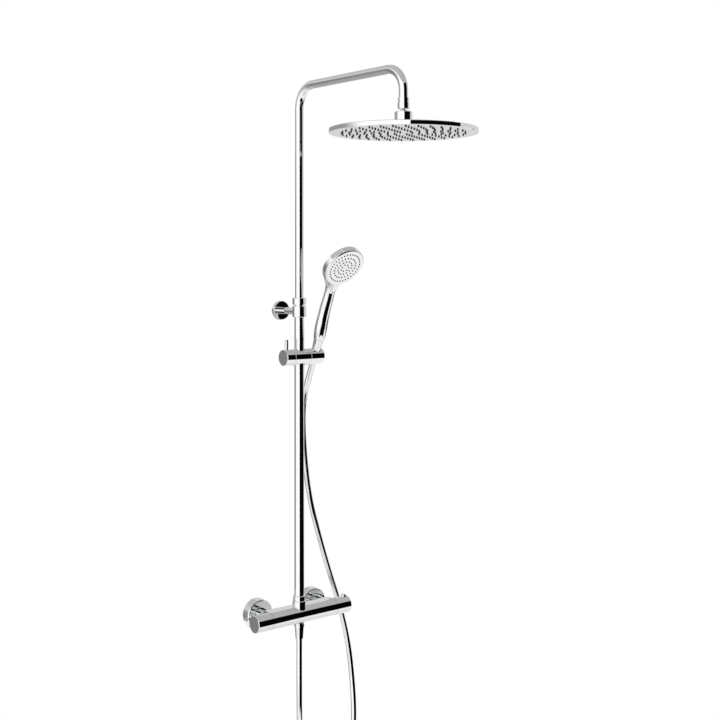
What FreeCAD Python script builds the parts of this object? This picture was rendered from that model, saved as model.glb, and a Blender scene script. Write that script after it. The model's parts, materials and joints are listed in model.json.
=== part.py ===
import FreeCAD, Part
import math
import os
import Sketcher

# Rainfall shower column: a thermostatic bar mixer on two wall inlets, a telescopic riser with an
# overhead rain head, and a hand shower on a sliding holder with a flexible hose.
# Millimetres. X runs along the bar, Y into the wall (the wall is the plane Y = 0, the object is
# in front of it at negative Y), Z is up. The origin is midway between the two wall inlets.

os.makedirs("parts", exist_ok=True)
doc = FreeCAD.newDocument("RainfallShowerColumn")

SIZES = {
    # main axes
    "riser_x": -7.0, "bar_y": -74.0, "inlet_x": 75.0, "bracket_z": 676.0, "holder_z": 574.0,
    "cradle_x": 35.0, "handset_tilt": 22.7,
    # clearances: a running fit, a joint between pieces of one body, an open seam; edge breaks
    "fit": 0.05, "snug": 0.02, "seam": 0.3, "bevel": 1.0, "seam_edge": 0.3,
    # mixer body
    "bar_radius": 19.0, "body_end": 88.2, "rear_depth": 22.0, "rear_flat": 15.0, "rear_side": 18.0,
    "rear_rounding": 4.0, "boss_radius": 15.2, "boss_top": 19.5, "spigot_radius": 9.0,
    "spigot_top": 36.0, "duct_radius": 6.0, "outlet_bore": 8.0,
    "outlet_bore_depth": 8.0, "cartridge_radius": 14.0, "cartridge_start": 46.2,
    "inlet_collar": 12.8, "inlet_shank": 11.0, "inlet_bore": 7.0, "inlet_face": -34.0,
    "inlet_shoulder": -38.0, "inlet_root": -60.0,
    # handles, spindles and the safety button
    "handle_start": 88.8, "handle_end": 128.5, "handle_cavity": 16.0, "handle_web": 108.0,
    "cap_radius": 16.5, "cap_start": 126.0, "spindle_radius": 4.0, "spindle_start": 74.4,
    "spindle_end": 115.6, "spindle_hole_end": 116.0, "spindle_bore_end": 74.0,
    "button_x": 119.0, "button_radius": 6.0, "button_floor": 9.5, "button_base": 12.5,
    "button_top": 23.4, "button_rounding": 1.5, "spring_radius": 4.6, "spring_wire": 0.4,
    "spring_turns": 2.5,
    # wall inlets
    "rosette_back": 33.5, "rosette_front": 32.9, "rosette_shoulder": 18.0, "rosette_depth": 21.0,
    "rosette_flat": 29.9, "rosette_edge": 3.0, "rosette_wall": 1.5, "rosette_hole": 13.7,
    "stud_radius": 10.48, "stud_depth": 15.0, "union_radius": 13.5, "union_end": 22.0,
    "thread_radius": 13.2, "thread_end": 32.0, "union_bore": 8.0, "nut_radius": 16.0,
    "nut_start": 24.0, "nut_end": 46.0, "nut_lip": 38.3, "nut_lip_radius": 11.2,
    "valve_radius": 6.95, "valve_bore": 4.5, "valve_start": 36.0, "valve_end": 54.0,
    "valve_disc_start": 43.0, "valve_disc_end": 46.0, "gasket_radius": 12.5,
    # outlet for the hose
    "nipple_flange": 10.3, "nipple_flange_end": -21.5, "nipple_thread": 7.9, "nipple_end": -30.0,
    "nipple_bore": 5.0, "nipple_top": -12.0, "washer_end": -32.0, "outlet_face": -19.0,
    "hose_nut_ring": 11.3, "hose_nut_top": -21.7, "hose_nut_step": -26.0, "hose_nut_neck": 10.0,
    "hose_nut_tip": 8.4, "hose_nut_end": -53.0, "hose_nut_bore": 4.5,
    # riser
    "base_nut_radius": 15.0, "base_nut_start": 19.6, "base_nut_end": 32.0, "sleeve_radius": 13.5,
    "sleeve_end": 43.0, "tube_radius": 11.0, "tube_inner": 10.0, "tube_start": 24.0,
    "tube_end": 696.0, "o_ring_z": 30.0, "o_ring_radius": 9.5, "o_ring_wire": 0.48,
    # wall bracket
    "collar_radius": 15.5, "collar_start": 663.0, "collar_end": 688.0, "rod_radius": 8.0,
    "rod_start": 4.0, "rod_length": 64.0, "plate_radius": 14.0, "plate_depth": 4.0,
    "bracket_rosette_radius": 22.0, "bracket_rosette_depth": 8.0, "bracket_rosette_edge": 2.0,
    "bracket_rosette_wall": 1.2, "screw_radius": 2.2, "screw_head": 4.0, "screw_sink": 2.2,
    "screw_length": 30.0,
    # telescope
    "ring_radius": 15.3, "ring_start": 690.5, "ring_end": 706.0, "ring_step": 697.0,
    "upper_radius": 9.5, "upper_inner": 8.45, "guide_radius": 9.95, "guide_start": 366.0,
    "guide_shoulder": 390.0, "guide_end": 410.0, "guide_spigot": 8.4, "guide_bore": 6.0,
    "guide_groove": 8.4, "groove_low": 371.0, "groove_high": 383.0, "groove_width": 1.6,
    "guide_ring_radius": 9.18, "guide_ring_wire": 0.75, "upper_foot": 390.3,
    # overhead arm
    "arm_z": 1176.0, "arm_reach": 350.0, "bend_radius": 48.0, "arm_tip": 1108.0,
    "end_nut_base": 1104.0, "end_nut_neck": 10.0, "end_nut_step": 1105.7, "end_nut_radius": 11.5,
    "end_nut_top": 1112.7, "end_nut_bore": 5.0,
    # ball joint, turned about the ball's centre
    "ball_z": 1096.0, "ball_radius": 6.5, "seat_inner": 6.55, "seat_outer": 7.5,
    "socket_cavity": 7.55, "socket_radius": 12.0, "socket_base": -6.0, "socket_top": 8.0,
    "socket_mouth": 4.583, "socket_throat": 3.0, "socket_throat_z": 6.928, "seat_base": -4.0,
    "seat_mouth_inner": 5.187, "seat_mouth_outer": 6.344, "seat_hole": 2.5,
    "seat_hole_inner_z": 6.054, "seat_hole_outer_z": 7.071, "ball_bore": 1.4,
    "ball_bore_z": 6.347, "stem_radius": 2.6, "stem_top": -5.957, "flange_radius": 7.2,
    "flange_top": -8.5, "flange_base": -11.0, "ball_spigot": 6.0, "ball_spigot_base": -17.0,
    # rain head, heights above its face
    "head_z": 1042.0, "head_radius": 150.0, "head_depth": 9.2, "head_wall": 1.2,
    "head_edge": 1.5, "head_lip": 0.6, "hub_radius": 18.0, "hub_top": 43.0, "hub_foot": 28.0,
    "hub_foot_edge": 30.0, "hub_foot_top": 11.0, "hub_flare": 10.0, "hub_flare_top": 21.0,
    "hub_duct": 4.0, "hub_socket_base": 36.8,
    # nozzle plates and mats
    "head_plate_depth": 1.5, "head_mat_radius": 138.0, "mat_depth": 2.0, "head_nozzle": 2.0,
    "head_nozzle_reach": 2.4, "head_ring_first": 19.0, "head_ring_step": 15.0, "head_rings": 8,
    "head_row_angle": 62.0, "hand_nozzle": 1.45, "hand_nozzle_reach": 1.3,
    # hand shower holder, lengths measured from the riser along the bar's direction
    "liner_outer": 12.4, "liner_half": 14.0, "holder_radius": 18.0, "holder_half": 21.5,
    "knob_start": 21.8, "knob_end": 44.6, "stud_start": 13.4, "clamp_stud_end": 29.6,
    "clamp_stud_radius": 4.0, "lever_x": 35.0, "lever_base": 10.0, "lever_top": 40.0,
    "cradle_start": 21.8, "cradle_end": 58.6, "pivot_radius": 5.0, "pivot_start": 14.0,
    "pivot_end": 29.0, "pivot_hole_end": 29.4,
    # hand shower, measured along its own axis from the cradle's centre
    "cone_top": 42.0, "cone_top_radius": 11.2, "cone_base": -18.0, "cone_base_radius": 6.9,
    "ferrule_end": -68.0, "ferrule_bore": 6.25, "hose_top": -10.0, "cone_bore": 3.5,
    "cone_socket_base": 28.0, "handset_foot": 42.5, "handset_spigot": 8.0,
    "handset_spigot_end": 29.0, "handset_duct": 5.5, "handset_duct_end": 150.0,
    "liner_top_gap": 0.35, "cradle_liner_wall": 1.6, "cradle_liner_half": 19.0,
    "cradle_liner_trim": 17.9, "face_radius": 48.0, "rim_depth": 15.0, "dish_depth": 25.0,
    "insert_radius": 44.0, "insert_depth": 3.0, "hand_mat_radius": 40.0, "pocket_depth": 6.0,
    "rim_round": 3.0, "face_y": -25.5, "face_z": 225.3, "face_lean": 16.0, "flat_length": 68.0,
    # hose
    "hose_radius": 6.2,
}

sheet = doc.addObject("Spreadsheet::Sheet", "Sizes")
for row, (alias, number) in enumerate(SIZES.items(), start=1):
    sheet.set("A%d" % row, alias)
    sheet.set("B%d" % row, str(number))
    sheet.setAlias("B%d" % row, alias)
doc.recompute()

UP = FreeCAD.Rotation()
TOWARDS_ROOM = FreeCAD.Rotation(FreeCAD.Vector(1, 0, 0), 90)
TOWARDS_RIGHT = FreeCAD.Rotation(FreeCAD.Vector(0, 1, 0), 90)
TOWARDS_LEFT = FreeCAD.Rotation(FreeCAD.Vector(0, 1, 0), -90)
ALONG_HANDSET = FreeCAD.Rotation(FreeCAD.Vector(1, 0, 0), SIZES["handset_tilt"])

RISER = ("riser_x", "bar_y", "0")
BAR = ("0", "bar_y", "0")
HOLDER = ("riser_x", "bar_y", "holder_z")
CRADLE = ("cradle_x", "bar_y", "holder_z")
HEAD_Y = "bar_y - arm_reach"

nodes = []


def value(text):
    """The number that a sum of sheet names and plain numbers, such as "a + b - 2", stands for."""
    total = 0.0
    sign = 1
    for word in text.split():
        if word in ("+", "-"):
            sign = -1 if word == "-" else 1
        else:
            total += sign * (SIZES[word] if word in SIZES else float(word))
            sign = 1
    return total


def formula(text):
    """The same sum as an expression on the sheet."""
    return " ".join("Sizes." + word if word in SIZES else word for word in text.split())


def place(piece, at, turn=UP):
    """Put a piece at a point given as three sums, and keep it bound to the sheet."""
    piece.Placement = FreeCAD.Placement(FreeCAD.Vector(*[value(text) for text in at]), turn)
    for axis, text in zip("xyz", at):
        piece.setExpression("Placement.Base." + axis, formula(text))
    return piece


def keep(piece, label):
    """Mark a finished sub-part: its label names its file."""
    piece.Label = label
    nodes.append(piece)
    return piece


def origin_plane(body, role):
    return next(item for item in body.Origin.OriginFeatures if item.Role == role)


def outline(body, plane, corners, closed=True):
    """Draw corners (across, up) as a sketch; a third value rounds the run that follows it, with
    that radius, to the left of the way drawn, or to the right where a fourth value says hollow."""
    sketch = body.newObject("Sketcher::SketchObject", body.Name + "_outline")
    sketch.AttachmentSupport = [(origin_plane(body, plane), "")]
    sketch.MapMode = "FlatFace"
    points = [FreeCAD.Vector(value(corner[0]), value(corner[1]), 0) for corner in corners]
    runs = len(corners) if closed else len(corners) - 1
    ends = []
    for index in range(runs):
        start = points[index]
        stop = points[(index + 1) % len(points)]
        if len(corners[index]) == 2:
            sketch.addGeometry(Part.LineSegment(start, stop), False)
            ends.append((1, 2))
            continue
        hollow = len(corners[index]) == 4
        radius = value(corners[index][2])
        chord = stop - start
        rise = math.sqrt(max(radius ** 2 - (chord.Length / 2) ** 2, 0.0))
        side = FreeCAD.Vector(-chord.y, chord.x, 0).normalize() * (-rise if hollow else rise)
        centre = (start + stop) * 0.5 + side
        first, last = (stop, start) if hollow else (start, stop)
        angles = [math.atan2(point.y - centre.y, point.x - centre.x) for point in (first, last)]
        circle = Part.Circle(centre, FreeCAD.Vector(0, 0, 1), radius)
        sketch.addGeometry(Part.ArcOfCircle(circle, angles[0], angles[1]), False)
        ends.append((2, 1) if hollow else (1, 2))
    for index in range(runs if closed else runs - 1):
        after = (index + 1) % runs
        sketch.addConstraint(
            Sketcher.Constraint("Coincident", index, ends[index][1], after, ends[after][0]))
    for index, corner in enumerate(corners):
        run, end = (index, ends[index][0]) if index < runs else (index - 1, ends[index - 1][1])
        for kind, text, axis in (("DistanceX", corner[0], -2), ("DistanceY", corner[1], -1)):
            if text == "0":
                sketch.addConstraint(Sketcher.Constraint("PointOnObject", run, end, axis))
                continue
            bound = sketch.addConstraint(
                Sketcher.Constraint(kind, -1, 1, run, end, value(text)))
            sketch.setExpression("Constraints[%d]" % bound, formula(text))
        if len(corner) > 2 and index < runs:
            bound = sketch.addConstraint(Sketcher.Constraint("Radius", index, value(corner[2])))
            sketch.setExpression("Constraints[%d]" % bound, formula(corner[2]))
    return sketch


def turned(name, corners, at=RISER, turn=UP):
    """A turned piece: its half outline (radius, height) revolved about its own Z axis."""
    body = doc.addObject("PartDesign::Body", name)
    sketch = outline(body, "XZ_Plane", corners)
    solid = body.newObject("PartDesign::Revolution", name + "_turned")
    solid.Profile = sketch
    solid.ReferenceAxis = (sketch, ["V_Axis"])
    solid.Angle = 360
    return place(body, at, turn)


def ring(name, inner, outer, low, high, at=RISER, turn=UP):
    """A plain ring or tube between two heights."""
    return turned(name, [(inner, low), (outer, low), (outer, high), (inner, high)], at, turn)


def rod(name, radius, length, at, turn=UP):
    """A plain round bar, as a primitive."""
    bar = doc.addObject("Part::Cylinder", name)
    bar.setExpression("Radius", formula(radius))
    bar.setExpression("Height", formula(length))
    return place(bar, at, turn)


def torus(name, radius, wire, at, turn=UP):
    """A round-section seal ring."""
    seal = doc.addObject("Part::Torus", name)
    seal.setExpression("Radius1", formula(radius))
    seal.setExpression("Radius2", formula(wire))
    return place(seal, at, turn)


def fused(name, pieces):
    whole = doc.addObject("Part::MultiFuse", name)
    whole.Shapes = pieces
    whole.Refine = True
    return whole


def grouped(name, pieces, label):
    """Identical loose pieces that share one node."""
    group = doc.addObject("Part::Compound", name)
    group.Links = pieces
    keep(group, label)


def drilled(name, base, tools):
    """A piece with the tools' shapes taken out of it."""
    tool = tools[0] if len(tools) == 1 else fused(name + "_tools", tools)
    piece = doc.addObject("Part::Cut", name)
    piece.Base = base
    piece.Tool = tool
    return piece


def shaped(name, shape, placement):
    """A piece whose shape is built in code; its placement is set after its shape."""
    piece = doc.addObject("Part::Feature", name)
    piece.Shape = shape
    piece.Placement = placement
    return piece


# ---------------------------------------------------------------- mixer

def mixer_body():
    """The body casting: a bar with a round front and a squared rear, its boss and inlets."""
    bar = doc.addObject("PartDesign::Body", "mixer_bar")
    sketch = outline(bar, "YZ_Plane", [
        ("0", "- bar_radius"), ("rear_side", "- bar_radius", "rear_rounding"),
        ("rear_depth", "- rear_flat"), ("rear_depth", "rear_flat", "rear_rounding"),
        ("rear_side", "bar_radius"), ("0", "bar_radius", "bar_radius"),
        ("- bar_radius", "0", "bar_radius")])
    pad = bar.newObject("PartDesign::Pad", "mixer_bar_pad")
    pad.Profile = sketch
    pad.setExpression("Length", formula("body_end + body_end"))
    place(bar, ("- body_end", "bar_y", "0"))
    solids = [bar]
    solids.append(rod("mixer_boss", "boss_radius", "boss_top", RISER))
    solids.append(rod("mixer_spigot", "spigot_radius", "spigot_top", RISER))
    holes = [rod("mixer_riser_duct", "duct_radius", "spigot_top", RISER)]
    outlet = ("riser_x", "bar_y", "outlet_face")
    holes.append(rod("mixer_outlet_bore", "outlet_bore", "outlet_bore_depth", outlet))
    holes.append(rod("mixer_outlet_duct", "nipple_bore", "bar_radius", outlet))
    for side, x, turn in (("left", "-", TOWARDS_LEFT), ("right", "", TOWARDS_RIGHT)):
        inlet = ("%s inlet_x" % x, "inlet_face", "0")
        solids.append(turned("mixer_inlet_" + side, [
            ("0", "0"), ("inlet_collar", "0"), ("inlet_collar", "inlet_face - inlet_shoulder"),
            ("inlet_shank", "inlet_face - inlet_shoulder"),
            ("inlet_shank", "inlet_face - inlet_root"), ("0", "inlet_face - inlet_root")],
            inlet, TOWARDS_ROOM))
        holes.append(rod("mixer_inlet_bore_" + side, "inlet_bore", "inlet_face - bar_y",
                         inlet, TOWARDS_ROOM))
        start = ("%s cartridge_start" % x, "bar_y", "0")
        holes.append(rod("mixer_cartridge_bore_" + side, "cartridge_radius",
                         "body_end - cartridge_start", start, turn))
    keep(drilled("mixer_casting", fused("mixer_blank", solids), holes), "mixer_body")


def mixer_end(side, turn, kind, use):
    """One end of the bar: cartridge, spindle, handle and end cap, turned about the bar's axis."""
    keep(turned(use + "_cartridge_body", [
        ("0", "cartridge_start + snug"), ("cartridge_radius - fit", "cartridge_start + snug"),
        ("cartridge_radius - fit", "body_end"), ("spindle_radius + fit", "body_end"),
        ("spindle_radius + fit", "spindle_bore_end"), ("0", "spindle_bore_end")],
        BAR, turn), kind)
    keep(turned(use + "_spindle_bar", [
        ("0", "spindle_start"), ("spindle_radius", "spindle_start"),
        ("spindle_radius", "spindle_end"), ("0", "spindle_end")], BAR, turn), use + "_spindle")
    grip = turned(use + "_grip", [
        ("handle_cavity", "handle_start"), ("bar_radius", "handle_start"),
        ("bar_radius", "handle_end - bevel"), ("bar_radius - bevel", "handle_end"),
        ("cap_radius + snug", "handle_end"), ("cap_radius + snug", "cap_start"),
        ("0", "cap_start"), ("0", "spindle_hole_end"),
        ("spindle_radius + snug", "spindle_hole_end"), ("spindle_radius + snug", "handle_web"),
        ("handle_cavity", "handle_web")], BAR, turn)
    cap = turned(use + "_cap_disc", [
        ("0", "cap_start + snug"), ("cap_radius", "cap_start + snug"),
        ("cap_radius", "handle_end"), ("0", "handle_end")], BAR, turn)
    keep(cap, use + "_handle_cap")
    return grip


def safety_button(grip):
    """The anti-scald button: a sprung plunger in a pocket on top of the temperature handle."""
    pocket = rod("button_pocket", "button_radius + fit", "bar_radius",
                 ("button_x", "bar_y", "button_floor"))
    keep(drilled("temperature_grip_pocketed", grip, [pocket]), "temperature_handle")
    keep(turned("button_plunger", [
        ("0", "button_base"), ("button_radius", "button_base"),
        ("button_radius", "button_top - button_rounding", "button_rounding"),
        ("button_radius - button_rounding", "button_top"), ("0", "button_top")],
        ("button_x", "bar_y", "0")), "safety_button")
    wire = value("spring_wire")
    height = value("button_base - button_floor") - 2 * wire
    coil = Part.makeHelix(height / value("spring_turns"), height, value("spring_radius") - wire)
    start = FreeCAD.Vector(value("spring_radius") - wire, 0, 0)
    section = Part.Wire(Part.Circle(start, FreeCAD.Vector(0, 1, 0), wire).toShape())
    spring = Part.Wire(coil.Edges).makePipeShell([section], True, True)
    base = FreeCAD.Vector(value("button_x"), value("bar_y"), value("button_floor") + wire)
    keep(shaped("button_coil", spring, FreeCAD.Placement(base, UP)), "button_spring")


def wall_inlet(side, sign):
    """Everything between the wall and one inlet of the mixer; heights run out from the wall."""
    at = ("%s inlet_x" % sign, "0", "0")
    keep(turned("cover_" + side, [
        ("rosette_back - rosette_wall", "0"), ("rosette_back", "0"),
        ("rosette_front", "rosette_shoulder", "rosette_edge"), ("rosette_flat", "rosette_depth"),
        ("rosette_hole", "rosette_depth"), ("rosette_hole", "rosette_depth - rosette_wall"),
        ("rosette_flat", "rosette_depth - rosette_wall", "rosette_wall", "hollow"),
        ("rosette_front - rosette_wall", "rosette_shoulder")], at, TOWARDS_ROOM),
        "rosette_" + side)
    keep(turned("connector_" + side, [
        ("union_bore", "- stud_depth"), ("stud_radius", "- stud_depth"), ("stud_radius", "0"),
        ("union_radius", "0"), ("union_radius", "union_end"), ("thread_radius", "union_end"),
        ("thread_radius", "thread_end"), ("union_bore", "thread_end")], at, TOWARDS_ROOM),
        "union_" + side)
    keep(turned("coupling_" + side, [
        ("thread_radius + fit", "nut_start"), ("nut_radius - bevel", "nut_start"),
        ("nut_radius", "nut_start + bevel"), ("nut_radius", "nut_end - bevel"),
        ("nut_radius - bevel", "nut_end"), ("nut_lip_radius", "nut_end"),
        ("nut_lip_radius", "nut_lip"), ("thread_radius + fit", "nut_lip")], at, TOWARDS_ROOM),
        "union_nut_" + side)
    gasket = ring("gasket_" + side, "union_bore", "gasket_radius", "thread_end", "- inlet_face",
                  at, TOWARDS_ROOM)
    valve = turned("valve_" + side, [
        ("valve_bore", "valve_start"), ("valve_radius", "valve_start"),
        ("valve_radius", "valve_end"), ("valve_bore", "valve_end"),
        ("valve_bore", "valve_disc_end"), ("0", "valve_disc_end"), ("0", "valve_disc_start"),
        ("valve_bore", "valve_disc_start")], at, TOWARDS_ROOM)
    return gasket, valve


def hose_outlet():
    """The outlet under the body, with its washer and the hose's nut."""
    keep(turned("nipple", [
        ("nipple_bore", "nipple_end"), ("nipple_thread", "nipple_end"),
        ("nipple_thread", "nipple_flange_end"), ("nipple_flange", "nipple_flange_end"),
        ("nipple_flange", "outlet_face"), ("outlet_bore - snug", "outlet_face"),
        ("outlet_bore - snug", "nipple_top"), ("nipple_bore", "nipple_top")]), "outlet_nipple")
    keep(ring("flat_washer", "nipple_bore", "nipple_thread", "washer_end", "nipple_end"),
         "outlet_washer")
    keep(turned("lower_hose_nut", [
        ("hose_nut_bore", "hose_nut_end"), ("hose_nut_tip", "hose_nut_end"),
        ("hose_nut_neck", "hose_nut_step"), ("hose_nut_ring", "hose_nut_step"),
        ("hose_nut_ring", "hose_nut_top"), ("nipple_thread + fit", "hose_nut_top"),
        ("nipple_thread + fit", "washer_end"), ("hose_nut_bore", "washer_end")]),
        "hose_bottom_nut")


# ---------------------------------------------------------------- riser, bracket and arm

def lower_riser():
    """The fixed tube of the riser and what holds it on the mixer."""
    keep(turned("riser_nut", [
        ("tube_radius + snug", "base_nut_start"), ("base_nut_radius", "base_nut_start"),
        ("base_nut_radius", "base_nut_end - bevel"), ("base_nut_radius - bevel", "base_nut_end"),
        ("tube_radius + snug", "base_nut_end")]), "riser_base_nut")
    keep(turned("riser_sleeve", [
        ("tube_radius + snug", "base_nut_end"), ("sleeve_radius", "base_nut_end"),
        ("sleeve_radius", "sleeve_end - bevel"), ("sleeve_radius - bevel", "sleeve_end"),
        ("tube_radius + snug", "sleeve_end")]), "riser_base_sleeve")
    keep(ring("riser_tube", "tube_inner", "tube_radius", "tube_start", "tube_end"),
         "lower_riser_tube")
    keep(torus("riser_seal", "o_ring_radius", "o_ring_wire", ("riser_x", "bar_y", "o_ring_z")),
         "riser_o_ring")


def wall_bracket():
    """The upper wall bracket: plate, screw, cover, rod and the collar round the riser."""
    at = ("riser_x", "0", "bracket_z")
    keep(turned("collar", [
        ("tube_radius + snug", "collar_start"), ("collar_radius - bevel", "collar_start"),
        ("collar_radius", "collar_start + bevel"), ("collar_radius", "collar_end - bevel"),
        ("collar_radius - bevel", "collar_end"), ("tube_radius + snug", "collar_end")]),
        "bracket_collar")
    bar = rod("rod_blank", "rod_radius", "rod_length", ("riser_x", "- rod_start", "bracket_z"),
              TOWARDS_ROOM)
    scribe = rod("rod_scribe", "collar_radius + snug", "collar_end - collar_start",
                 ("riser_x", "bar_y", "collar_start"))
    keep(drilled("rod_scribed", bar, [scribe]), "bracket_rod")
    keep(turned("bracket_cover", [
        ("bracket_rosette_radius - bracket_rosette_wall", "0"), ("bracket_rosette_radius", "0"),
        ("bracket_rosette_radius", "bracket_rosette_depth - bracket_rosette_edge",
         "bracket_rosette_edge"),
        ("bracket_rosette_radius - bracket_rosette_edge", "bracket_rosette_depth"),
        ("rod_radius + fit", "bracket_rosette_depth"),
        ("rod_radius + fit", "bracket_rosette_depth - bracket_rosette_wall"),
        ("bracket_rosette_radius - bracket_rosette_edge",
         "bracket_rosette_depth - bracket_rosette_wall"),
        ("bracket_rosette_radius - bracket_rosette_wall",
         "bracket_rosette_depth - bracket_rosette_edge")], at, TOWARDS_ROOM), "bracket_rosette")
    keep(turned("fixing_plate", [
        ("screw_radius + snug", "0"), ("plate_radius", "0"), ("plate_radius", "plate_depth"),
        ("screw_head + snug", "plate_depth"), ("screw_radius + snug", "plate_depth - screw_sink")],
        at, TOWARDS_ROOM), "bracket_wall_plate")
    keep(turned("fixing_screw", [
        ("0", "- screw_length"), ("screw_radius", "- screw_length"),
        ("screw_radius", "plate_depth - screw_sink"), ("screw_head", "plate_depth"),
        ("0", "plate_depth")], at, TOWARDS_ROOM), "bracket_wall_screw")


def telescope():
    """The clamping ring, and the sliding guide at the foot of the upper tube with its seals."""
    keep(turned("lock_ring", [
        ("tube_radius + fit", "ring_start"), ("ring_radius - bevel", "ring_start"),
        ("ring_radius", "ring_start + bevel"), ("ring_radius", "ring_end - bevel"),
        ("ring_radius - bevel", "ring_end"), ("upper_radius + fit", "ring_end"),
        ("upper_radius + fit", "ring_step"), ("tube_radius + fit", "ring_step")]),
        "telescope_lock_ring")
    corners = [("guide_bore", "guide_start"), ("guide_radius", "guide_start")]
    for groove in ("groove_low", "groove_high"):
        corners += [("guide_radius", groove), ("guide_groove", groove),
                    ("guide_groove", groove + " + groove_width"),
                    ("guide_radius", groove + " + groove_width")]
    corners += [("guide_radius", "guide_shoulder"), ("guide_spigot", "guide_shoulder"),
                ("guide_spigot", "guide_end"), ("guide_bore", "guide_end")]
    keep(turned("sliding_guide", corners), "telescope_guide")
    seals = [torus("guide_seal_" + groove, "guide_ring_radius", "guide_ring_wire",
                   ("riser_x", "bar_y", groove + " + guide_ring_wire + fit"))
             for groove in ("groove_low", "groove_high")]
    grouped("guide_seals", seals, "telescope_o_rings")


def upper_tube():
    """The bent upper tube: up the riser, out over the user and down to the head's joint."""
    body = doc.addObject("PartDesign::Body", "bent_tube")
    sketch = body.newObject("Sketcher::SketchObject", "bent_tube_section")
    sketch.AttachmentSupport = [(origin_plane(body, "XY_Plane"), "")]
    sketch.MapMode = "FlatFace"
    for radius in ("upper_radius", "upper_inner"):
        circle = Part.Circle(FreeCAD.Vector(), FreeCAD.Vector(0, 0, 1), value(radius))
        index = sketch.addGeometry(circle, False)
        sketch.addConstraint(Sketcher.Constraint("Coincident", index, 3, -1, 1))
        bound = sketch.addConstraint(Sketcher.Constraint("Radius", index, value(radius)))
        sketch.setExpression("Constraints[%d]" % bound, formula(radius))
    spine = outline(body, "YZ_Plane", [
        ("0", "0"), ("0", "arm_z - upper_foot - bend_radius", "bend_radius", "hollow"),
        ("bend_radius", "arm_z - upper_foot"),
        ("arm_reach - bend_radius", "arm_z - upper_foot", "bend_radius", "hollow"),
        ("arm_reach", "arm_z - upper_foot - bend_radius"),
        ("arm_reach", "arm_tip - upper_foot")], closed=False)
    pipe = body.newObject("PartDesign::AdditivePipe", "bent_tube_pipe")
    pipe.Profile = sketch
    pipe.Spine = (spine, [])
    half_turn = FreeCAD.Rotation(FreeCAD.Vector(0, 0, 1), 180)
    keep(place(body, ("riser_x", "bar_y", "upper_foot"), half_turn), "upper_tube")


def ball_joint():
    """The head's joint: end nut, socket, swivelling seat and the ball with its stem."""
    arm_end = ("riser_x", HEAD_Y, "0")
    ball = ("riser_x", HEAD_Y, "ball_z")
    keep(turned("end_nut", [
        ("end_nut_bore", "end_nut_base"), ("end_nut_neck", "end_nut_base"),
        ("end_nut_neck", "end_nut_step"), ("end_nut_radius", "end_nut_step"),
        ("end_nut_radius", "end_nut_top"), ("upper_radius + snug", "end_nut_top"),
        ("upper_radius + snug", "arm_tip"), ("end_nut_bore", "arm_tip")], arm_end),
        "arm_end_nut")
    keep(turned("socket", [
        ("socket_mouth", "socket_base"), ("socket_radius - bevel", "socket_base"),
        ("socket_radius", "socket_base + bevel"), ("socket_radius", "socket_top"),
        ("socket_throat", "socket_top"),
        ("socket_throat", "socket_throat_z", "socket_cavity", "hollow")], ball), "ball_socket")
    keep(turned("seat", [
        ("seat_mouth_inner", "seat_base"), ("seat_mouth_outer", "seat_base", "seat_outer"),
        ("seat_hole", "seat_hole_outer_z"),
        ("seat_hole", "seat_hole_inner_z", "seat_inner", "hollow")], ball), "ball_seat")
    keep(turned("ball", [
        ("ball_bore", "ball_spigot_base"), ("ball_spigot - snug", "ball_spigot_base"),
        ("ball_spigot - snug", "flange_base"), ("flange_radius", "flange_base"),
        ("flange_radius", "flange_top"), ("stem_radius", "flange_top"),
        ("stem_radius", "stem_top", "ball_radius"), ("ball_bore", "ball_bore_z")], ball),
        "joint_ball")


# ---------------------------------------------------------------- spray faces

NOZZLE_TAPER = 0.8  # a nozzle's tip radius as a share of its foot's


def spray_face(names, placement, plate, mat_radius, nozzle, places):
    """A face plate with holes and the soft mat behind it whose nozzles reach through them.
    Local +Z is the way the water goes; the plate's front is at height 0."""
    plate_radius, plate_depth = plate
    radius, reach = nozzle
    mat_depth = value("mat_depth")
    down = FreeCAD.Vector(0, 0, -1)
    front = Part.makeCylinder(plate_radius, plate_depth, FreeCAD.Vector(), down)
    back = FreeCAD.Vector(0, 0, -plate_depth)
    mat = Part.makeCylinder(mat_radius, mat_depth, back, down)
    clear = radius + value("fit")
    holes = [Part.makeCylinder(clear, plate_depth, FreeCAD.Vector(x, y, -plate_depth))
             for x, y in places]
    tips = [Part.makeCone(radius, radius * NOZZLE_TAPER, plate_depth + reach,
                          FreeCAD.Vector(x, y, -plate_depth)) for x, y in places]
    keep(shaped(names[0] + "_pierced", front.cut(Part.makeCompound(holes)), placement), names[0])
    keep(shaped(names[1] + "_moulded", mat.fuse(Part.makeCompound(tips)), placement), names[1])


def rain_nozzles():
    """Rings of 4, 8, 12 ... nozzles, so that four straight rows cross at the centre."""
    places = []
    for step in range(int(value("head_rings"))):
        radius = value("head_ring_first") + step * value("head_ring_step")
        count = 4 * (step + 1)
        for index in range(count):
            angle = math.radians(value("head_row_angle") + 360.0 * index / count)
            places.append((radius * math.cos(angle), radius * math.sin(angle)))
    return places


# The hand shower's rings of nozzles, from the outer one in: radius and count.
HAND_RINGS = ((36.7, 32), (26.6, 22), (17.2, 14), (9.0, 7))


def hand_nozzles():
    """Places of the hand shower's nozzles; the foot of the face falls between two of each ring."""
    places = []
    for radius, count in HAND_RINGS:
        for index in range(count):
            angle = 2 * math.pi * (index + 0.5) / count
            places.append((radius * math.sin(angle), radius * math.cos(angle)))
    return places


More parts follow.
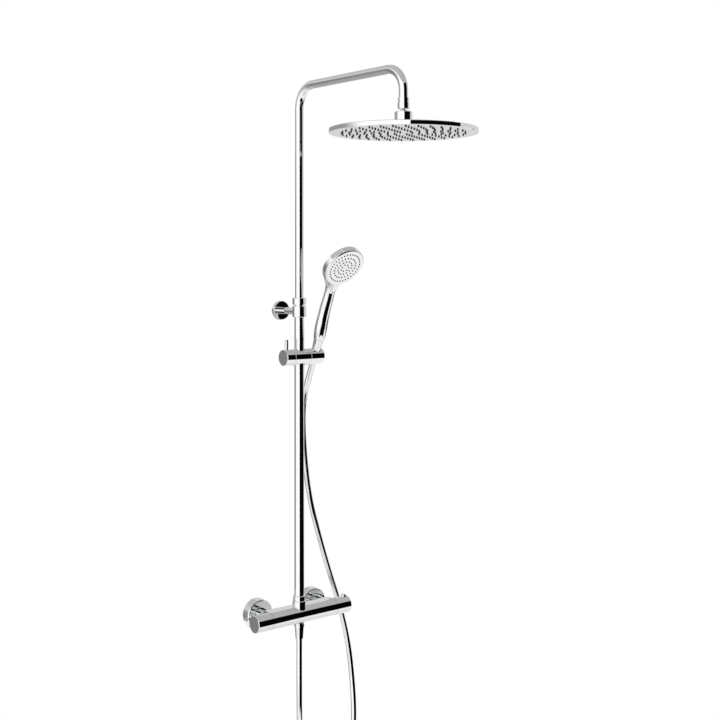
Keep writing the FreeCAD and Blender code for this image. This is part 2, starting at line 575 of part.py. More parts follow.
def rain_head():
    """Hub, shell, face plate and nozzle mat of the overhead shower."""
    at = ("riser_x", HEAD_Y, "head_z")
    keep(turned("hub", [
        ("hub_duct", "head_depth"), ("hub_foot_edge", "head_depth"),
        ("hub_foot_edge", "hub_foot_top"), ("hub_foot", "hub_foot_top", "hub_flare", "hollow"),
        ("hub_radius", "hub_flare_top"), ("hub_radius", "hub_top - bevel"),
        ("hub_radius - bevel", "hub_top"), ("ball_spigot", "hub_top"),
        ("ball_spigot", "hub_socket_base"), ("hub_duct", "hub_socket_base")], at), "head_hub")
    keep(turned("shell", [
        ("head_radius - head_wall", "0"), ("head_radius - head_lip", "0"),
        ("head_radius", "head_lip"), ("head_radius", "head_depth - head_edge", "head_edge"),
        ("head_radius - head_edge", "head_depth"), ("hub_duct", "head_depth"),
        ("hub_duct", "head_depth - head_wall"),
        ("head_radius - head_wall - head_wall", "head_depth - head_wall"),
        ("head_radius - head_wall", "head_depth - head_wall - head_wall")], at), "head_shell")
    face = FreeCAD.Placement(FreeCAD.Vector(*[value(text) for text in at]),
                             FreeCAD.Rotation(FreeCAD.Vector(1, 0, 0), 180))
    plate = (value("head_radius - head_wall - fit"), value("head_plate_depth"))
    spray_face(("head_face_plate", "head_nozzle_mat"), face, plate, value("head_mat_radius"),
               (value("head_nozzle"), value("head_nozzle_reach")), rain_nozzles())


# ---------------------------------------------------------------- holder and hand shower

def slide_holder():
    """The sliding holder: bush on the riser, body, clamp knob with its lever, and cradle."""
    keep(ring("bush", "tube_radius + fit", "liner_outer", "- liner_half", "liner_half", HOLDER),
         "holder_liner")
    barrel = turned("barrel", [
        ("0", "- holder_half"), ("holder_radius - seam_edge", "- holder_half"),
        ("holder_radius", "- holder_half + seam_edge"),
        ("holder_radius", "holder_half - seam_edge"),
        ("holder_radius - seam_edge", "holder_half"), ("0", "holder_half")],
        HOLDER, TOWARDS_RIGHT)
    bore = rod("barrel_bore", "liner_outer + fit", "holder_radius + holder_radius",
               ("riser_x", "bar_y", "holder_z - holder_radius"))
    stud_hole = rod("barrel_stud_hole", "clamp_stud_radius + fit", "holder_half - stud_start",
                    ("riser_x - holder_half", "bar_y", "holder_z"), TOWARDS_RIGHT)
    pivot_hole = rod("barrel_pivot_hole", "pivot_radius + snug", "holder_half - pivot_start",
                     ("riser_x + pivot_start", "bar_y", "holder_z"), TOWARDS_RIGHT)
    keep(drilled("barrel_drilled", barrel, [bore, stud_hole, pivot_hole]), "holder_body")
    keep(rod("pivot", "pivot_radius", "pivot_end - pivot_start",
             ("riser_x + pivot_start", "bar_y", "holder_z"), TOWARDS_RIGHT), "cradle_pivot")
    knob = turned("knob", [
        ("0", "clamp_stud_end"), ("clamp_stud_radius + snug", "clamp_stud_end"),
        ("clamp_stud_radius + snug", "knob_start"), ("holder_radius - seam_edge", "knob_start"),
        ("holder_radius", "knob_start + seam_edge"), ("holder_radius", "knob_end - bevel"),
        ("holder_radius - bevel", "knob_end"), ("0", "knob_end")], HOLDER, TOWARDS_LEFT)
    lever_base = ("riser_x - lever_x", "bar_y", "holder_z + lever_base")
    lever_hole = rod("lever_hole", "clamp_stud_radius + snug", "lever_top", lever_base)
    keep(drilled("knob_drilled", knob, [lever_hole]), "clamp_knob")
    keep(ring("stud", "0", "clamp_stud_radius", "stud_start + seam", "clamp_stud_end", HOLDER,
              TOWARDS_LEFT), "clamp_stud")
    keep(turned("lever", [
        ("0", "lever_base"), ("clamp_stud_radius", "lever_base"),
        ("clamp_stud_radius", "lever_top - bevel"), ("clamp_stud_radius - bevel", "lever_top"),
        ("0", "lever_top")], ("riser_x - lever_x", "bar_y", "holder_z")), "clamp_lever")


def cone_radius(along):
    """Radius of the hose nut's cone at a place along the hand shower's axis."""
    share = (along - value("cone_base")) / value("cone_top - cone_base")
    return value("cone_base_radius") + share * value("cone_top_radius - cone_base_radius")


def cradle():
    """The tilting cradle and the tapered liner that the hose nut rests in."""
    block = turned("cradle_block", [
        ("pivot_radius + fit", "cradle_start"), ("holder_radius - seam_edge", "cradle_start"),
        ("holder_radius", "cradle_start + seam_edge"), ("holder_radius", "cradle_end - bevel"),
        ("holder_radius - bevel", "cradle_end"), ("0", "cradle_end"), ("0", "pivot_hole_end"),
        ("pivot_radius + fit", "pivot_hole_end")], HOLDER, TOWARDS_RIGHT)
    half = value("cradle_liner_half")
    gaps = {"taper_bore": value("liner_top_gap"),
            "liner_blank": value("liner_top_gap + cradle_liner_wall"),
            "cradle_taper": value("liner_top_gap + cradle_liner_wall + snug")}
    cones = {}
    for name, gap in gaps.items():
        cone = doc.addObject("Part::Cone", name)
        cone.Radius1 = cone_radius(-half) + gap
        cone.Radius2 = cone_radius(half) + gap
        cone.Height = 2 * half
        foot = ALONG_HANDSET.multVec(FreeCAD.Vector(0, 0, -half))
        centre = FreeCAD.Vector(*[value(text) for text in CRADLE])
        cone.Placement = FreeCAD.Placement(centre + foot, ALONG_HANDSET)
        cones[name] = cone
    keep(drilled("cradle_bored", block, [cones["cradle_taper"]]), "cradle")
    sleeve = drilled("liner_sleeve", cones["liner_blank"], [cones["taper_bore"]])
    trim = rod("liner_trim", "cradle_liner_trim", "cradle_end - cradle_start",
               ("riser_x + cradle_start", "bar_y", "holder_z"), TOWARDS_RIGHT)
    liner = doc.addObject("Part::Common", "liner_trimmed")
    liner.Base = sleeve
    liner.Tool = trim
    keep(liner, "cradle_liner")


def handset_frame():
    """Placement of the hand shower, whose own Z runs up its handle from the cradle's centre."""
    centre = FreeCAD.Vector(*[value(text) for text in CRADLE])
    return FreeCAD.Placement(centre, ALONG_HANDSET)


def handset_face():
    """Placement of the spray face in the hand shower's own frame: local Z is the spray."""
    centre = FreeCAD.Vector(0, value("face_y"), value("face_z"))
    lean = FreeCAD.Rotation(FreeCAD.Vector(1, 0, 0), 90 + value("face_lean"))
    return FreeCAD.Placement(centre, lean)


# The grip, as sections along its axis: place, centre towards the wall, half width, half depth.
HANDSET_GRIP = (
    (42.5, 0.0, 12.0, 12.0), (50.0, 0.4, 13.2, 13.2), (68.0, 2.0, 14.2, 14.2),
    (93.0, 3.8, 13.4, 13.4), (118.0, 4.4, 12.8, 12.8), (143.0, 4.0, 12.0, 12.0),
    (152.0, 4.0, 11.8, 11.6), (160.0, 3.9, 12.3, 11.6), (168.0, 2.8, 14.0, 12.1),
    (176.0, 1.0, 18.0, 13.0), (186.0, -1.0, 26.0, 14.0), (196.0, -2.5, 33.0, 14.4),
    (210.0, -5.0, 30.0, 9.0))


def grip_section(along, back, half_width, half_depth):
    """One section of the grip: a circle low down, an ellipse where it widens into the head."""
    centre = FreeCAD.Vector(0, back, along)
    if half_width == half_depth:
        return Part.Wire(Part.Circle(centre, FreeCAD.Vector(0, 0, 1), half_width).toShape())
    side = centre + FreeCAD.Vector(half_width, 0, 0)
    front = centre + FreeCAD.Vector(0, half_depth, 0)
    return Part.Wire(Part.Ellipse(side, front, centre).toShape())


# A point of the round back of the head: shares of its radius, and of its rise behind the rim.
BACK_BULGE = (0.62, 0.3)


def handset():
    """The hand shower: a grip that swells and leans back into a round head, cut off flat by
    the plane of the spray face."""
    sections = [grip_section(*corners) for corners in HANDSET_GRIP]
    handle = Part.makeLoft(sections, True)
    radius = value("face_radius")
    rim = value("rim_depth")
    depth = value("dish_depth")
    turn = value("rim_round")
    slack = turn * (1 - math.sqrt(0.5))
    corners = [FreeCAD.Vector(0, 0, 0), FreeCAD.Vector(radius - turn, 0, 0),
               FreeCAD.Vector(radius, 0, -turn), FreeCAD.Vector(radius, 0, -rim),
               FreeCAD.Vector(0, 0, -depth)]
    edge = FreeCAD.Vector(radius - slack, 0, -slack)
    bulge = FreeCAD.Vector(radius * BACK_BULGE[0], 0, -depth + (depth - rim) * BACK_BULGE[1])
    edges = [Part.LineSegment(corners[0], corners[1]), Part.Arc(corners[1], edge, corners[2]),
             Part.LineSegment(corners[2], corners[3]), Part.Arc(corners[3], bulge, corners[4]),
             Part.LineSegment(corners[4], corners[0])]
    half = Part.Face(Part.Wire([piece.toShape() for piece in edges]))
    dish = half.revolve(FreeCAD.Vector(), FreeCAD.Vector(0, 0, 1), 360)
    face = handset_face()
    dish.Placement = face
    room = Part.makeBox(4 * radius, 4 * radius, 2 * radius,
                        FreeCAD.Vector(-2 * radius, -value("flat_length"), 0))
    room.Placement = face
    pocket = Part.makeCylinder(value("insert_radius + fit"), value("pocket_depth"),
                               FreeCAD.Vector(), FreeCAD.Vector(0, 0, -1))
    pocket.Placement = face
    spigot_length = value("handset_foot - handset_spigot_end")
    spigot = Part.makeCylinder(value("handset_spigot"), spigot_length,
                               FreeCAD.Vector(0, 0, value("handset_spigot_end")))
    duct = Part.makeCylinder(value("handset_duct"), value("handset_duct_end - handset_spigot_end"),
                             FreeCAD.Vector(0, 0, value("handset_spigot_end")))
    shell = handle.fuse([dish, spigot]).cut([room, pocket, duct])
    keep(shaped("handset_shell", shell.removeSplitter(), handset_frame()), "handset_body")
    plate = (value("insert_radius"), value("insert_depth"))
    spray_face(("handset_spray_plate", "handset_nozzle_mat"), handset_frame().multiply(face),
               plate, value("hand_mat_radius"),
               (value("hand_nozzle"), value("hand_nozzle_reach")), hand_nozzles())
    keep(turned("upper_hose_nut", [
        ("hose_radius + snug", "cone_base"), ("cone_base_radius", "cone_base"),
        ("cone_top_radius", "cone_top"), ("handset_spigot + fit", "cone_top"),
        ("handset_spigot + fit", "cone_socket_base"), ("cone_bore", "cone_socket_base"),
        ("cone_bore", "hose_top"), ("hose_radius + snug", "hose_top")], CRADLE, ALONG_HANDSET),
        "hose_cone_nut")
    keep(ring("ferrule", "ferrule_bore", "cone_base_radius", "ferrule_end", "cone_base",
              CRADLE, ALONG_HANDSET), "hose_top_ferrule")


# ---------------------------------------------------------------- hose

# The hose's route from the hand shower down to the outlet, as hand-chosen points: straight out
# of the ferrule, down behind the bar's right end, round in a hanging loop and up to the outlet.
HOSE_ROUTE = [FreeCAD.Vector(*point) for point in (
    (35.0, -70.14, 564.77), (35.0, -29.4, 467.4), (43.0, -23.5, 360.0), (60.0, -23.0, 250.0),
    (89.5, -24.0, 160.0), (118.0, -24.0, 80.0), (152.0, -25.0, -9.0), (179.0, -28.0, -110.0),
    (187.0, -33.0, -205.0), (186.5, -39.0, -268.0), (179.0, -44.0, -319.0),
    (160.0, -49.0, -358.0), (130.0, -54.0, -384.0), (93.0, -59.0, -393.0),
    (56.0, -63.0, -384.0), (24.0, -67.0, -357.0), (3.0, -70.0, -314.0), (-5.4, -72.5, -252.0),
    (-7.2, -74.0, -152.0), (-7.0, -74.0, -53.0))]
# corners of each stretch of the hose; stretches part at the middle of a straight run
HOSE_STRETCHES = (("hose_upper", 1, 1), ("hose_middle", 2, 3), ("hose_lower", 4, 18))
ARC_SHARE = 0.45


def hose_bend(index):
    """The tangent arc at a corner of the route: start, middle, end and radius."""
    corner = HOSE_ROUTE[index]
    back = HOSE_ROUTE[index - 1] - corner
    ahead = HOSE_ROUTE[index + 1] - corner
    turn = math.pi - back.getAngle(ahead)
    reach = ARC_SHARE * min(back.Length, ahead.Length)
    radius = reach / math.tan(turn / 2)
    back.normalize()
    ahead.normalize()
    inward = (back + ahead).normalize()
    middle = corner + inward * (radius / math.cos(turn / 2) - radius)
    return corner + back * reach, middle, corner + ahead * reach, radius


def hose():
    """The hose as three stretches of plain tube, straight runs joined by tangent arcs."""
    radius = value("hose_radius")
    total = 0.0
    for label, first, last in HOSE_STRETCHES:
        start = HOSE_ROUTE[0] if first == 1 else (HOSE_ROUTE[first - 1] + HOSE_ROUTE[first]) * 0.5
        final = len(HOSE_ROUTE) - 2
        stop = HOSE_ROUTE[-1] if last == final else (HOSE_ROUTE[last] + HOSE_ROUTE[last + 1]) * 0.5
        edges = []
        here = start
        radii = []
        for index in range(first, last + 1):
            enter, middle, leave, bend = hose_bend(index)
            edges.append(Part.LineSegment(here, enter).toShape())
            edges.append(Part.Arc(enter, middle, leave).toShape())
            radii.append(round(bend))
            here = leave
        edges.append(Part.LineSegment(here, stop).toShape())
        path = Part.Wire(edges)
        section = Part.Wire(Part.Circle(start, HOSE_ROUTE[first] - start, radius).toShape())
        tube = path.makePipeShell([section], True, True)
        expected = math.pi * radius ** 2 * path.Length
        total += path.Length
        print(label, "length %.1f mm" % path.Length, "bend radii", radii,
              "volume ratio %.4f" % (tube.Volume / expected))
        keep(shaped(label + "_tube", tube, FreeCAD.Placement()), label)
    print("hose length %.1f mm" % total)


# ---------------------------------------------------------------- assembly

mixer_body()
flow_grip = mixer_end("left", TOWARDS_LEFT, "flow_cartridge", "flow")
keep(flow_grip, "flow_handle")
temperature_grip = mixer_end("right", TOWARDS_RIGHT, "thermostatic_cartridge", "temperature")
safety_button(temperature_grip)
gaskets, valves = zip(wall_inlet("left", "-"), wall_inlet("right", ""))
grouped("gasket_pair", list(gaskets), "inlet_gaskets")
grouped("valve_pair", list(valves), "check_valves")
hose_outlet()
lower_riser()
wall_bracket()
telescope()
upper_tube()
ball_joint()
rain_head()
slide_holder()
cradle()
handset()
hose()
doc.recompute()

faults = [item.Name for item in doc.Objects if {"Invalid", "Error"} & set(item.State)]
faults += [node.Label for node in nodes if node.Shape.isNull() or not node.Shape.isValid()]
if faults:
    raise SystemExit("faulty: " + ", ".join(faults))
for node in nodes:
    node.Shape.exportStep("parts/%s.step" % node.Label)
    print(node.Label, "solids", len(node.Shape.Solids), "volume %.0f" % node.Shape.Volume)
print(len(nodes), "sub-parts")
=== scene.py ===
import json
import math

import bpy
import numpy as np
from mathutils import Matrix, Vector


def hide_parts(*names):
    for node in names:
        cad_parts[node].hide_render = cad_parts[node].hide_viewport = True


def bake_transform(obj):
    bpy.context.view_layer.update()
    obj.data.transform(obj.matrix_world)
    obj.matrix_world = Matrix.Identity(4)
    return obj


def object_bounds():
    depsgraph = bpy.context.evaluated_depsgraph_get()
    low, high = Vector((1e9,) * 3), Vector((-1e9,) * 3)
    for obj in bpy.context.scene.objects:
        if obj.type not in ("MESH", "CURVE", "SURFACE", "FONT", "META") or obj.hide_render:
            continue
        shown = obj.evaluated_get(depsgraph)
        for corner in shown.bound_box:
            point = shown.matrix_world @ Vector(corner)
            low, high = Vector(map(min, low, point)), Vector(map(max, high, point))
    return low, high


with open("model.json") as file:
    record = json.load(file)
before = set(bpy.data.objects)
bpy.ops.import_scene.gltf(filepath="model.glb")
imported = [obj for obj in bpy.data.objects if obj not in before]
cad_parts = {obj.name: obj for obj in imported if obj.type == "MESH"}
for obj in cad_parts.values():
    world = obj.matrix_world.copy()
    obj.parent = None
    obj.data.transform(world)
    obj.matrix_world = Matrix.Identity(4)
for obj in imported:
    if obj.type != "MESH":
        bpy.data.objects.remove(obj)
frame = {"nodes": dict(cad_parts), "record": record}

# Looks of a rainfall shower column. Metres, in the frame of the imported model: X along the mixer
# bar, Y into the wall, Z up. Each section makes one thing: camera and studio, finishes, mesh
# helpers, hose. The solids of the model keep their shapes and get a finish each; only the hose's
# three stretches are made here as tubes.

CAD_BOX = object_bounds()
SCENE = bpy.context.scene
SLOT_OF = {part["node"]: part["material_slot"] for part in frame["record"]["subparts"]}


# ---------------------------------------------------------------- camera and studio

CAMERA_PLACE = (-1.5771, -2.1957, 0.772)
CAMERA_LENS = 59.1        # millimetres, on a sensor 36 mm wide
CAMERA_SHIFT = -0.1275    # the level camera's picture is moved down to take in the mixer
VIEW_TURN = -39.44        # degrees that it is turned about Z from looking along +Y


def make_camera():
    data = bpy.data.cameras.new("camera")
    data.lens = CAMERA_LENS
    data.sensor_width = 36.0
    data.shift_y = CAMERA_SHIFT
    camera = bpy.data.objects.new("camera", data)
    camera.location = CAMERA_PLACE
    camera.rotation_euler = (math.radians(90), 0, math.radians(VIEW_TURN))
    SCENE.collection.objects.link(camera)
    SCENE.camera = camera


class Graph:
    """A node tree with short calls for adding nodes and joining them."""

    def __init__(self, tree):
        self.tree = tree
        tree.nodes.clear()

    def add(self, kind, **settings):
        node = self.tree.nodes.new("ShaderNode" + kind)
        for key, setting in settings.items():
            setattr(node, key, setting)
        return node

    def feed(self, socket, source):
        """Give a socket another node's output, or a plain value."""
        if isinstance(source, bpy.types.NodeSocket):
            self.tree.links.new(source, socket)
        else:
            socket.default_value = source

    def math(self, operation, *sources):
        node = self.add("Math", operation=operation)
        for socket, source in zip(node.inputs, sources):
            self.feed(socket, source)
        return node.outputs[0]

    def dot(self, vector, direction):
        node = self.add("VectorMath", operation="DOT_PRODUCT")
        self.feed(node.inputs[0], vector)
        self.feed(node.inputs[1], direction)
        return node.outputs["Value"]

    def step(self, source, low, high, start=0.0, end=1.0, smooth=True):
        """start where source is under low, end where it is over high."""
        kind = "SMOOTHSTEP" if smooth else "LINEAR"
        node = self.add("MapRange", interpolation_type=kind)
        for name, given in (("Value", source), ("From Min", low), ("From Max", high),
                            ("To Min", start), ("To Max", end)):
            self.feed(node.inputs[name], given)
        return node.outputs[0]

    def blend(self, share, first, second):
        """A number between two others."""
        node = self.add("Mix", data_type="FLOAT")
        self.feed(node.inputs[0], share)
        self.feed(node.inputs[2], first)
        self.feed(node.inputs[3], second)
        return node.outputs[0]

    def tint(self, share, first, second):
        """A colour between two others."""
        node = self.add("Mix", data_type="RGBA")
        self.feed(node.inputs[0], share)
        self.feed(node.inputs[6], (*first, 1.0) if isinstance(first, tuple) else first)
        self.feed(node.inputs[7], (*second, 1.0) if isinstance(second, tuple) else second)
        return node.outputs[2]

    def noise(self, place, scale, detail=2.0, stretch=None):
        if stretch:
            mapping = self.add("Mapping")
            self.feed(mapping.inputs["Vector"], place)
            self.feed(mapping.inputs["Scale"], stretch)
            place = mapping.outputs[0]
        node = self.add("TexNoise")
        self.feed(node.inputs["Vector"], place)
        self.feed(node.inputs["Scale"], scale)
        self.feed(node.inputs["Detail"], detail)
        return node.outputs[0]


# The studio round the object, by compass angle from the camera's side (to the camera's right is
# positive) and by height above the horizon, in degrees: a large black panel to the right, a white
# wall to the left of it, duller walls behind, a grey ceiling and a pale floor.
PANEL = (8.0, 94.0)             # its near and far edges, at the horizon
PANEL_REACH = 150.0             # its far edge at PANEL_DEPTH
PANEL_DEPTH = -19.0
PANEL_TOP = 33.0
PANEL_FOOT = (-47.5, -24.0)     # the foot is cut away past PANEL_FOOT_TURN
PANEL_FOOT_TURN = (76.0, 78.5)
PANEL_SPREAD = -14.0            # the near edge below PANEL_SPREAD_HEIGHT
PANEL_SPREAD_HEIGHT = (-28.0, -23.0)
EDGE = 1.0                      # softness of the panel's edges
WHITE_WALL_TURN = (-108.0, -62.0)
PALE_WALL_TURN = (-182.0, -150.0)
CEILING_TURN = (-60.0, 20.0)
BACK_WALL_HEIGHT = (0.0, 20.0)  # the back wall brightens upwards over this height
HORIZON = -21.0                 # where the floor begins away from the panel

# Brightness of each.
BLACK = 0.002
WHITE = 1.22
PALE = 0.74
BACK_WALL = (0.23, 0.68)        # low down and high up
CEILING = (0.56, 0.50)          # to the left and to the right
FLOOR = (0.4, 1.02)             # to the left and elsewhere


def make_world():
    world = bpy.data.worlds.new("studio")
    world.use_nodes = True
    SCENE.world = world
    graph = Graph(world.node_tree)
    way = graph.add("TexCoord").outputs["Generated"]
    turn = math.radians(VIEW_TURN)
    right = graph.dot(way, (math.cos(turn), math.sin(turn), 0.0))
    near = graph.dot(way, (math.sin(turn), -math.cos(turn), 0.0))
    compass = graph.math("DEGREES", graph.math("ARCTAN2", right, near))
    height = graph.math("DEGREES", graph.math("ARCSINE", graph.dot(way, (0.0, 0.0, 1.0))))

    def past(source, angle):
        """0 where source is under angle and 1 where it is over it; angle may vary too."""
        return graph.step(graph.math("SUBTRACT", source, angle), -EDGE, EDGE)

    behind = graph.step(height, *BACK_WALL_HEIGHT, *BACK_WALL)
    behind = graph.blend(graph.step(compass, *PALE_WALL_TURN), PALE, behind)
    ceiling = graph.step(compass, *CEILING_TURN, *CEILING)
    left = graph.blend(graph.step(compass, *WHITE_WALL_TURN), behind, WHITE)
    near_edge = graph.step(height, *PANEL_SPREAD_HEIGHT, PANEL_SPREAD, PANEL[0])
    far_edge = graph.step(height, PANEL_DEPTH, 0.0, PANEL_REACH, PANEL[1], smooth=False)
    past_near = past(compass, near_edge)
    past_far = past(compass, far_edge)
    walls = graph.blend(past_near, left, BLACK)
    walls = graph.blend(past_far, walls, PALE)
    upper = graph.blend(past(height, PANEL_TOP), walls, ceiling)
    ground = graph.step(compass, *WHITE_WALL_TURN, *FLOOR)
    in_panel = graph.math("MULTIPLY", past_near, graph.math("SUBTRACT", 1.0, past_far))
    foot = graph.step(compass, *PANEL_FOOT_TURN, *PANEL_FOOT)
    floor_line = graph.blend(in_panel, HORIZON, foot)
    whole = graph.blend(past(height, floor_line), ground, upper)
    seen = graph.add("LightPath").outputs["Is Camera Ray"]
    light = graph.add("Background")
    light.inputs["Color"].default_value = (1.0, 1.0, 1.0, 1.0)
    graph.feed(light.inputs["Strength"], graph.blend(seen, whole, 1.0))
    graph.feed(graph.add("OutputWorld").inputs["Surface"], light.outputs[0])
    SCENE.view_settings.view_transform = "Standard"


FLOOR_RADIUS = 1.7
FLOOR_SIDES = 96
FLOOR_DROP = 0.62           # from the lowest point of the hose
FLOOR_FORWARD = 0.25        # from the wall to the floor's middle
FLOOR_FADE = (0.1, 0.98)    # where it starts and ends fading, as shares of its radius
FLOOR_GLOW = (0.55, 1.0)    # how much of its light is its own, at the middle and at the rim


def make_floor():
    """A pale round floor well below the hanging hose, fading into the white studio."""
    middle = Vector((0.0, -FLOOR_FORWARD, CAD_BOX[0].z - FLOOR_DROP))
    turns = [math.tau * side / FLOOR_SIDES for side in range(FLOOR_SIDES)]
    rim = [middle + FLOOR_RADIUS * Vector((math.cos(turn), math.sin(turn), 0)) for turn in turns]
    mesh = bpy.data.meshes.new("studio_floor")
    mesh.from_pydata([tuple(point) for point in rim], [], [range(FLOOR_SIDES)])
    floor = bpy.data.objects.new("studio_floor", mesh)
    SCENE.collection.objects.link(floor)
    material = bpy.data.materials.new("studio_floor")
    material.use_nodes = True
    graph = Graph(material.node_tree)
    place = graph.add("TexCoord").outputs["Object"]
    reach = graph.add("VectorMath", operation="DISTANCE")
    graph.feed(reach.inputs[0], place)
    graph.feed(reach.inputs[1], middle)
    paint = graph.add("BsdfDiffuse")
    graph.feed(paint.inputs["Color"], graph.tint(graph.noise(place, 40.0), (0.90, 0.90, 0.90),
                                                 (0.93, 0.93, 0.93)))
    glow = graph.add("Emission")
    fade = graph.add("MixShader")
    start, end = (share * FLOOR_RADIUS for share in FLOOR_FADE)
    graph.feed(fade.inputs[0], graph.step(reach.outputs["Value"], start, end, *FLOOR_GLOW))
    graph.feed(fade.inputs[1], paint.outputs[0])
    graph.feed(fade.inputs[2], glow.outputs[0])
    graph.feed(graph.add("OutputMaterial").inputs["Surface"], fade.outputs[0])
    mesh.materials.append(material)


make_camera()
make_world()
make_floor()


# ---------------------------------------------------------------- finishes

RELIEF_DEPTH = 0.0002       # of a finish's fine relief at full strength
GLOSS_DRIFT = (0.32, 0.68)  # the noise's range that takes a finish from glossiest to dullest


def finish_of(name, colours, metallic, roughness, mottle, grain, stretch=None):
    """A finish whose colour and gloss drift a little over the surface. colours and roughness are
    pairs, and grain is the scale and strength of its fine relief."""
    material = bpy.data.materials.new(name)
    material.use_nodes = True
    graph = Graph(material.node_tree)
    shader = graph.add("BsdfPrincipled")
    place = graph.add("TexCoord").outputs["Object"]
    drift = graph.noise(place, mottle, 3.0, stretch)
    fine = graph.noise(place, grain[0], 2.0, stretch)
    graph.feed(shader.inputs["Base Color"], graph.tint(drift, *colours))
    both = graph.math("MULTIPLY_ADD", fine, 0.5, graph.math("MULTIPLY", drift, 0.5))
    graph.feed(shader.inputs["Roughness"], graph.step(both, *GLOSS_DRIFT, *roughness))
    shader.inputs["Metallic"].default_value = metallic
    relief = graph.add("Bump")
    relief.inputs["Strength"].default_value = grain[1]
    relief.inputs["Distance"].default_value = RELIEF_DEPTH
    graph.feed(relief.inputs["Height"], fine)
    graph.feed(shader.inputs["Normal"], relief.outputs[0])
    graph.feed(graph.add("OutputMaterial").inputs["Surface"], shader.outputs[0])
    return material


FINISHES = {
    "polished_chrome": finish_of("polished_chrome", ((0.82, 0.83, 0.84), (0.86, 0.865, 0.87)), 1.0,
                                 (0.006, 0.022), mottle=18.0, grain=(900.0, 0.0012)),
    "chromed_plastic": finish_of("chromed_plastic", ((0.82, 0.83, 0.84), (0.86, 0.865, 0.87)), 1.0,
                                 (0.008, 0.03), mottle=14.0, grain=(900.0, 0.0015)),
    "hose_metal": finish_of("hose_metal", ((0.80, 0.81, 0.82), (0.86, 0.865, 0.87)), 1.0,
                            (0.010, 0.035), mottle=60.0, grain=(1200.0, 0.002)),
    "face_metal": finish_of("face_metal", ((0.78, 0.785, 0.79), (0.84, 0.845, 0.85)), 1.0,
                            (0.10, 0.18), mottle=14.0, grain=(1600.0, 0.02)),
    "spray_plastic": finish_of("spray_plastic", ((0.86, 0.865, 0.87), (0.92, 0.925, 0.93)), 0.9,
                               (0.10, 0.2), mottle=30.0, grain=(1500.0, 0.02)),
    "nozzle_rubber": finish_of("nozzle_rubber", ((0.004, 0.004, 0.004), (0.012, 0.012, 0.012)), 0.0,
                               (0.5, 0.65), mottle=300.0, grain=(2600.0, 0.2)),
    "seal_rubber": finish_of("seal_rubber", ((0.012, 0.012, 0.012), (0.03, 0.03, 0.03)), 0.0,
                             (0.5, 0.7), mottle=200.0, grain=(2500.0, 0.25)),
    "nylon": finish_of("nylon", ((0.74, 0.74, 0.70), (0.82, 0.82, 0.79)), 0.0,
                       (0.35, 0.5), mottle=80.0, grain=(1800.0, 0.12)),
    "steel": finish_of("steel", ((0.50, 0.51, 0.52), (0.62, 0.63, 0.64)), 1.0,
                       (0.22, 0.36), mottle=60.0, grain=(900.0, 0.1), stretch=(1.0, 1.0, 12.0)),
    "brass": finish_of("brass", ((0.64, 0.46, 0.20), (0.74, 0.56, 0.28)), 1.0,
                       (0.2, 0.34), mottle=60.0, grain=(900.0, 0.1), stretch=(12.0, 1.0, 1.0)),
}


def paint_nodes():
    for name, node in frame["nodes"].items():
        for place in node.material_slots:
            place.material = FINISHES[SLOT_OF[name]]


paint_nodes()


# ---------------------------------------------------------------- mesh helpers

def new_object(name, points, faces, caps, slot):
    """A smooth piece closed by flat caps."""
    mesh = bpy.data.meshes.new(name)
    mesh.from_pydata([tuple(point) for point in points], [], faces + caps)
    mesh.materials.append(FINISHES[slot])
    mesh.polygons.foreach_set("use_smooth", [True] * len(faces) + [False] * len(caps))
    mesh.update()
    piece = bpy.data.objects.new(name, mesh)
    SCENE.collection.objects.link(piece)
    return piece


# ---------------------------------------------------------------- hose

# The hose's route, control points of one smooth line: out of the hand shower's nut, down behind
# the right end of the bar, round in a hanging loop and up to the outlet under the mixer. It is
# the solid hose's own route with two changes. The second point is added, to keep the hose
# straight inside the long ferrule that grips it, and the strand on the right, from the fifth
# point to the thirteenth, hangs up to 8 mm further in.
HOSE_ROUTE = (
    (0.035, -0.07014, 0.56477), (0.035, -0.0609, 0.5426), (0.035, -0.0294, 0.4674),
    (0.043, -0.0235, 0.360), (0.058, -0.023, 0.250), (0.0845, -0.024, 0.160),
    (0.111, -0.024, 0.080), (0.144, -0.025, -0.009), (0.171, -0.028, -0.110),
    (0.179, -0.033, -0.205), (0.1785, -0.039, -0.268), (0.172, -0.044, -0.319),
    (0.156, -0.049, -0.358), (0.130, -0.054, -0.384), (0.093, -0.059, -0.393),
    (0.056, -0.063, -0.384), (0.024, -0.067, -0.357), (0.003, -0.070, -0.314),
    (-0.0054, -0.0725, -0.252), (-0.0072, -0.074, -0.152), (-0.007, -0.074, -0.053))
HOSE_DIAMETER = 0.0124
HOSE_PITCH = 0.0034       # one turn of the spiral winding
HOSE_RIDGE = 0.000008     # height of the winding's ridges
HOSE_STEP = 0.00085       # between two rings of the tube's mesh
HOSE_TRIM = 0.00004       # from a tube's end to the ring before it
HOSE_SIDES = 32
HOSE_FINENESS = 48        # points of the smooth line to each of its spans

# Each stretch: name, first and last inner corner of the route, the two bodies it bends between,
# where the bend starts and ends, its length, what it goes into and what is on it.
HOSE_STRETCHES = (
    ("hose_upper", 1, 2, "holder", "cradle", (0.039, -0.026, 0.414), (0.035, -0.047, 0.505), 0.1585,
     ("hose_cone_nut", "hose_top_ferrule")),
    ("hose_middle", 3, 4, "holder_liner", "holder", (0.060, -0.023, 0.220), (0.043, -0.024, 0.400),
     0.2123, ()),
    ("hose_lower", 5, 19, "root", "holder_liner", (-0.007, -0.05, -0.053), (0.163, -0.05, 0.117),
     1.0506, ("hose_bottom_nut",)),
)


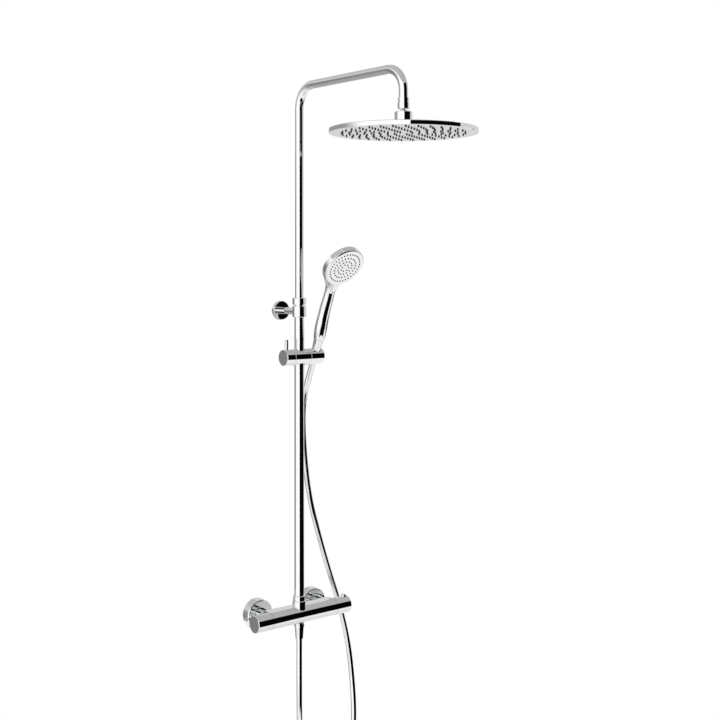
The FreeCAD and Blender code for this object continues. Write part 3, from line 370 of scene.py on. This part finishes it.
def spline_points(name, corners):
    """Points along the smooth line that has these corners as its control points."""
    curve = bpy.data.curves.new(name + "_route", "CURVE")
    curve.dimensions = "3D"
    curve.resolution_u = HOSE_FINENESS
    spline = curve.splines.new("NURBS")
    spline.points.add(len(corners) - 1)
    for point, corner in zip(spline.points, corners):
        point.co = (*corner, 1.0)
    spline.order_u = 3
    spline.use_endpoint_u = True
    holder = bpy.data.objects.new(name + "_route", curve)
    mesh = bpy.data.meshes.new_from_object(holder)
    line = np.array([vertex.co for vertex in mesh.vertices])
    bpy.data.objects.remove(holder)
    bpy.data.curves.remove(curve)
    bpy.data.meshes.remove(mesh)
    return line


def evenly(line):
    """The same line with points a ring's step apart, and one close to each end, so that the end
    caps don't bend the shading of the first and last rings."""
    runs = np.linalg.norm(np.diff(line, axis=0), axis=1)
    along = np.concatenate([[0.0], np.cumsum(runs)])
    long = along[-1]
    at = np.linspace(0.0, long, int(long / HOSE_STEP))
    at = np.sort(np.append(at, (HOSE_TRIM, long - HOSE_TRIM)))
    return np.column_stack([np.interp(at, along, line[:, axis]) for axis in range(3)]), at


def tube(name, line, along, side, slot):
    """A closed tube round a line, with the shallow spiral ridges of a wound hose. side is where
    its rings start; the side that they have turned to at its end comes back with the piece."""
    ways = np.gradient(line, axis=0)
    ways /= np.linalg.norm(ways, axis=1)[:, None]
    angles = np.linspace(0.0, math.tau, HOSE_SIDES, endpoint=False)
    points = []
    for centre, way, distance in zip(line, ways, along):
        side = side - way * (side @ way)
        side /= np.linalg.norm(side)
        up = np.cross(way, side)
        swell = HOSE_RIDGE * np.cos(math.tau * distance / HOSE_PITCH - angles)
        radius = HOSE_DIAMETER / 2 - HOSE_RIDGE + swell
        points.extend(centre + (side * np.cos(angles)[:, None] + up * np.sin(angles)[:, None])
                      * radius[:, None])
    faces = []
    for ring in range(len(line) - 1):
        first = ring * HOSE_SIDES
        for edge in range(HOSE_SIDES):
            after = (edge + 1) % HOSE_SIDES
            faces.append((first + edge, first + HOSE_SIDES + edge,
                          first + HOSE_SIDES + after, first + after))
    caps = [tuple(range(HOSE_SIDES)),
            tuple(range(len(points) - 1, len(points) - 1 - HOSE_SIDES, -1))]
    return new_object(name, points, faces, caps, slot), side


def make_hose():
    corners = [Vector(point) for point in HOSE_ROUTE]
    reached = 0.0
    side = np.array((1.0, 0.0, 0.0))
    for name, first, last, upper, lower, start, end, length, on_it in HOSE_STRETCHES:
        points = list(corners[first:last + 1])
        points.insert(0, corners[0] if first == 1 else (corners[first - 1] + corners[first]) / 2)
        at_end = last == len(corners) - 2
        points.append(corners[-1] if at_end else (corners[last] + corners[last + 1]) / 2)
        line, along = evenly(spline_points(name, points))
        piece, side = tube(name + "_tube", line, along + reached, side, "hose_metal")
        reached += along[-1]
        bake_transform(piece)
        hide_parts(name)


make_hose()
